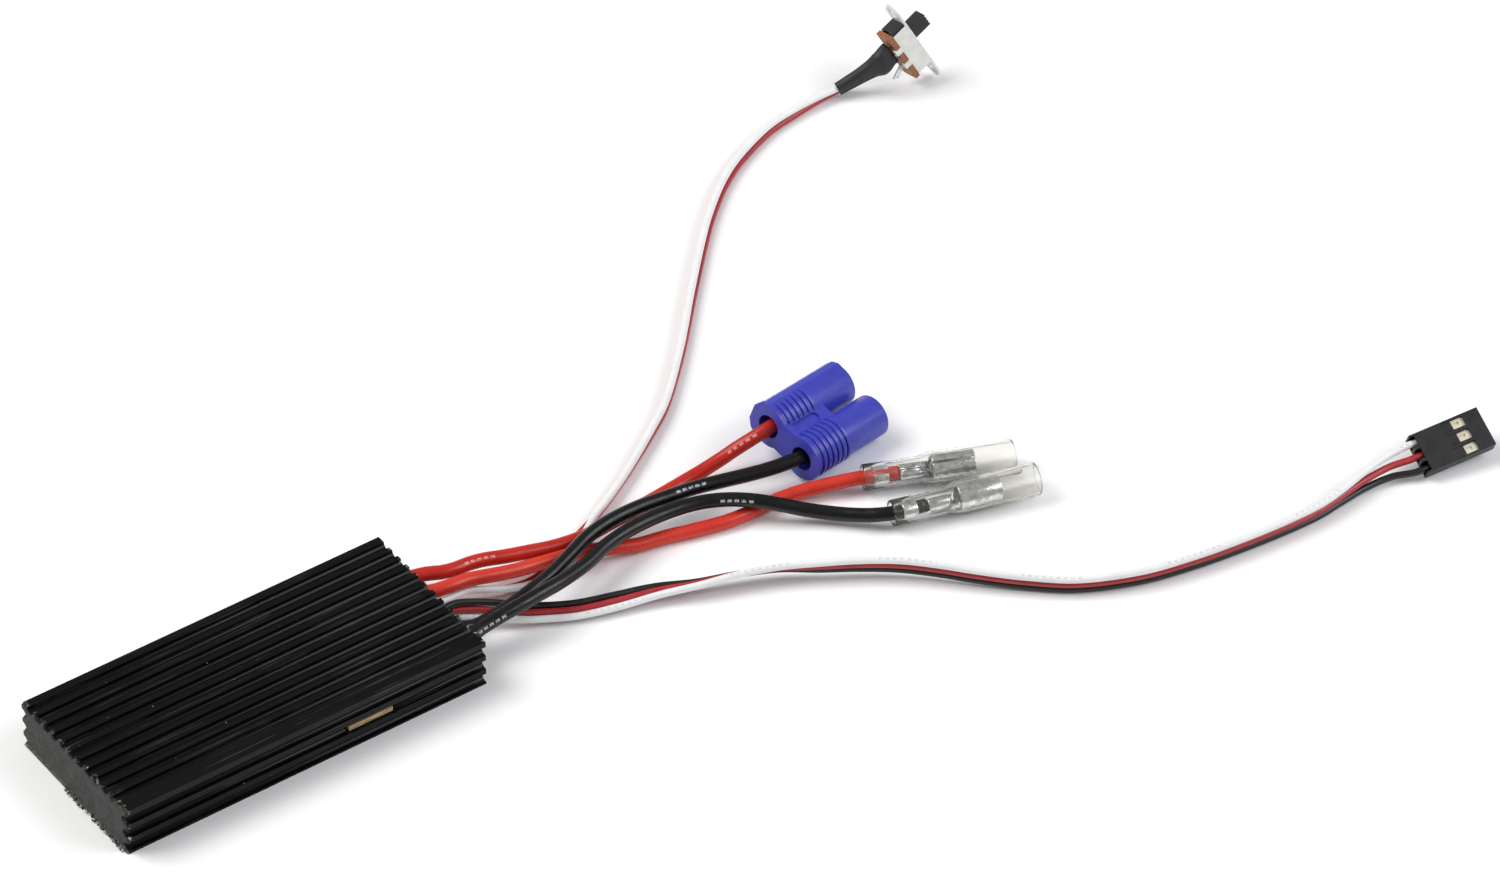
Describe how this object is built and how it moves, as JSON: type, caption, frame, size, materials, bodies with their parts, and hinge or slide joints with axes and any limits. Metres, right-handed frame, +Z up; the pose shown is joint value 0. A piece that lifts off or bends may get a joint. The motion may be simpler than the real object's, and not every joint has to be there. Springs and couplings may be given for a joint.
{
  "type": "electronic speed controller",
  "caption": "Brushed-motor speed controller: potted board in a finned metal channel with battery plug, motor sockets, receiver lead and slide switch.",
  "frame": {"origin": "centre of the case's underside, where it rests, halfway along and across the case", "axes": "+X along the case towards the end the leads leave, +Y across it towards the switch lead's side, +Z up out of the grooved top"},
  "size_m": [0.2533, 0.152, 0.0178],
  "materials": {
    "case_anodised": "black anodised extrusion, bare metal on the crests",
    "resin": "rough cast epoxy",
    "board_laminate": "solder mask over glass laminate",
    "silicone_pad": "soft filled silicone",
    "chip_package": "moulded epoxy",
    "ceramic": "sintered ceramic",
    "tantalum_case": "moulded epoxy",
    "solder": "bright solder",
    "silicone_red": "soft silicone sheen",
    "silicone_black": "soft silicone sheen",
    "lead_white": "PVC insulation",
    "lead_red": "PVC insulation",
    "lead_black": "PVC insulation",
    "plug_nylon_blue": "moulded nylon",
    "gold_plate": "gold plated",
    "tin_plate": "tin plated",
    "clear_pvc": "soft clear PVC",
    "plug_black": "moulded nylon",
    "shrink_black": "semi-matte polyolefin",
    "switch_steel": "nickel plated steel",
    "phenolic_brown": "paper phenolic",
    "knob_black": "moulded plastic",
    "spring_brass": "phosphor bronze"
  },
  "bodies": {
    "controller": {"heatsink_case": "case_anodised", "potting_compound": "resin", "circuit_board": "board_laminate", "thermal_pad": "silicone_pad", "power_mosfets": "chip_package", "gate_driver": "chip_package", "microcontroller": "chip_package", "ceramic_resonator": "ceramic", "voltage_regulator": "chip_package", "flyback_diode": "chip_package", "bulk_capacitors": "tantalum_case", "chip_capacitors": "ceramic", "chip_resistors": "chip_package", "solder_joints": "solder", "battery_wire_positive": "silicone_red", "battery_wire_negative": "silicone_black", "motor_wire_positive": "silicone_red", "motor_wire_negative": "silicone_black", "switch_wire_white": "lead_white", "switch_wire_red": "lead_red", "receiver_wire_signal": "lead_white", "receiver_wire_positive": "lead_red", "receiver_wire_negative": "lead_black", "battery_plug_housing": "plug_nylon_blue", "battery_pin_positive": "gold_plate", "battery_pin_negative": "gold_plate", "motor_socket_positive": "tin_plate", "motor_socket_negative": "tin_plate", "motor_sleeve_positive": "clear_pvc", "motor_sleeve_negative": "clear_pvc", "receiver_plug_housing": "plug_black", "receiver_plug_contacts": "gold_plate", "switch_heatshrink": "shrink_black", "switch_frame": "switch_steel", "switch_base": "phenolic_brown", "switch_terminals": "tin_plate"},
    "switch_knob": {"switch_slider": "knob_black", "switch_bridge": "spring_brass"}
  },
  "joints": [
    {"name": "switch_knob_slide", "type": "slide", "parent": "controller", "child": "switch_knob", "axis": [0.4193, -0.2723, -0.866], "range_m": [0, 0.004]}
  ]
}
